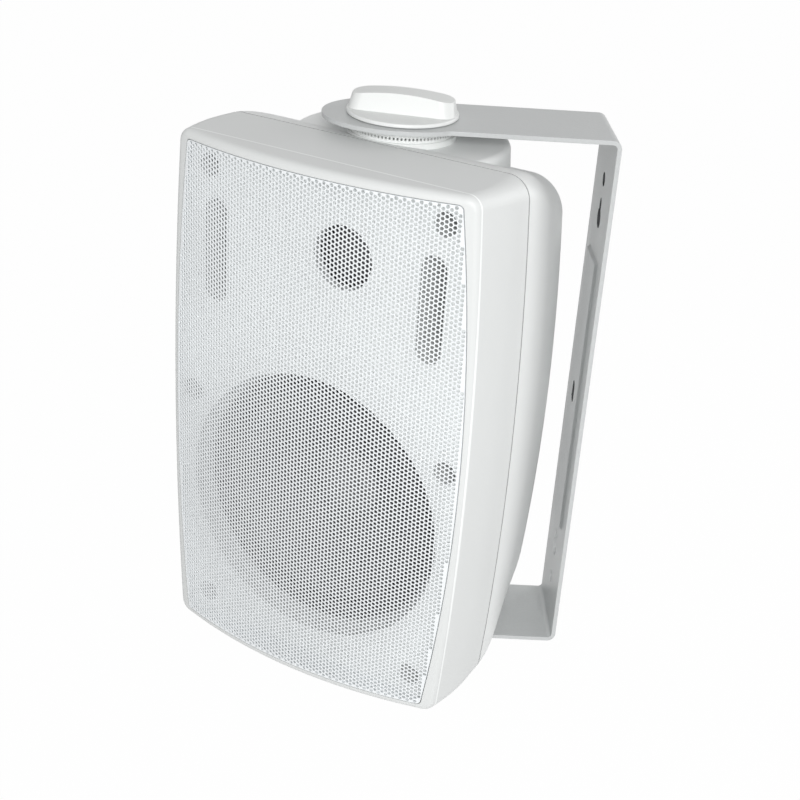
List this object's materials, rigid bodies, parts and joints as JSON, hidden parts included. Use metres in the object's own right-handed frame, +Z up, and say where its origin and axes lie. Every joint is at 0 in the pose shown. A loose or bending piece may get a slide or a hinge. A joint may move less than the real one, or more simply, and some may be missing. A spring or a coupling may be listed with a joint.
{
  "type": "wall speaker",
  "caption": "White two-way wall speaker with a curved perforated grille, held by a bent strip bracket with hand knobs that let it swivel about an upright axis.",
  "frame": {"origin": "middle of the bracket's wall face", "axes": "+Z up along the bracket's web, +Y into the wall, the arms reach towards -Y"},
  "size_m": [0.1651, 0.1893, 0.2766],
  "materials": {
    "white_plastic": "fine moulded texture",
    "white_steel": "white powder coat",
    "grille_steel": "white powder coat, perforated",
    "seal_rubber": "soft",
    "screw_steel": "zinc plated",
    "insert_brass": "plain",
    "cone_plastic": "grey coated",
    "frame_steel": "black paint",
    "magnet": "ferrite",
    "plate_steel": "zinc plated",
    "coil_wire": "enamelled wire",
    "cloth": "treated cloth",
    "dome_cloth": "treated silk",
    "black_plastic": "moulded",
    "red_plastic": "moulded",
    "board": "lacquered laminate",
    "capacitor_film": "wrapped film",
    "resistor_ceramic": "cement"
  },
  "bodies": {
    "bracket": {"bracket": "white_steel", "top_arm_ring": "white_plastic", "bottom_arm_ring": "white_plastic"},
    "speaker": {"board_screws": "screw_steel", "bottom_boss_ring": "white_plastic", "bottom_insert": "insert_brass", "filter_board": "board", "filter_capacitor": "capacitor_film", "filter_coil": "coil_wire", "filter_resistor": "resistor_ceramic", "front_housing": "white_plastic", "grille": "grille_steel", "housing_screws": "screw_steel", "housing_seal": "seal_rubber", "rear_housing": "white_plastic", "terminal_contacts": "insert_brass", "terminal_cup": "black_plastic", "terminal_screws": "screw_steel", "top_boss_ring": "white_plastic", "top_insert": "insert_brass", "tweeter_coil": "coil_wire", "tweeter_dome": "dome_cloth", "tweeter_frame": "black_plastic", "tweeter_magnet": "magnet", "tweeter_plate": "plate_steel", "tweeter_screws": "screw_steel", "tweeter_yoke": "plate_steel", "woofer_frame": "frame_steel", "woofer_gasket": "seal_rubber", "woofer_magnet": "magnet", "woofer_plate": "plate_steel", "woofer_screws": "screw_steel", "woofer_spider": "cloth", "woofer_surround": "seal_rubber", "woofer_yoke": "plate_steel"},
    "top_knob": {"top_knob": "white_plastic", "top_stud": "screw_steel"},
    "bottom_knob": {"bottom_knob": "white_plastic", "bottom_stud": "screw_steel"},
    "cone": {"woofer_cone": "cone_plastic", "woofer_cap": "cone_plastic", "woofer_coil": "coil_wire"},
    "red_lever": {"lever_red": "red_plastic"},
    "black_lever": {"lever_black": "black_plastic"}
  },
  "joints": [
    {"name": "swivel", "type": "hinge", "parent": "bracket", "child": "speaker", "pos_m": [0, -0.0925, 0], "axis": [0, 0, 1], "range_deg": [-158.8, 41.2]},
    {"name": "top_knob_turn", "type": "hinge", "parent": "speaker", "child": "top_knob", "pos_m": [0, -0.0925, 0], "axis": [0, 0, 1], "continuous": true},
    {"name": "bottom_knob_turn", "type": "hinge", "parent": "speaker", "child": "bottom_knob", "pos_m": [0, -0.0925, 0], "axis": [0, 0, -1], "continuous": true},
    {"name": "cone_stroke", "type": "slide", "parent": "speaker", "child": "cone", "axis": [0.8554, -0.518, 0], "range_m": [-0.003, 0.003], "stiffness_N_per_m": 1200},
    {"name": "red_lever_press", "type": "hinge", "parent": "speaker", "child": "red_lever", "pos_m": [-0.04727, -0.0779, -0.041], "axis": [-0.518, -0.8554, 0], "range_deg": [0, 20], "stiffness_Nm_per_rad": 0.02, "springref_deg": -20.05},
    {"name": "black_lever_press", "type": "hinge", "parent": "speaker", "child": "black_lever", "pos_m": [-0.03484, -0.05737, -0.041], "axis": [-0.518, -0.8554, 0], "range_deg": [0, 20], "stiffness_Nm_per_rad": 0.02, "springref_deg": -20.05}
  ]
}
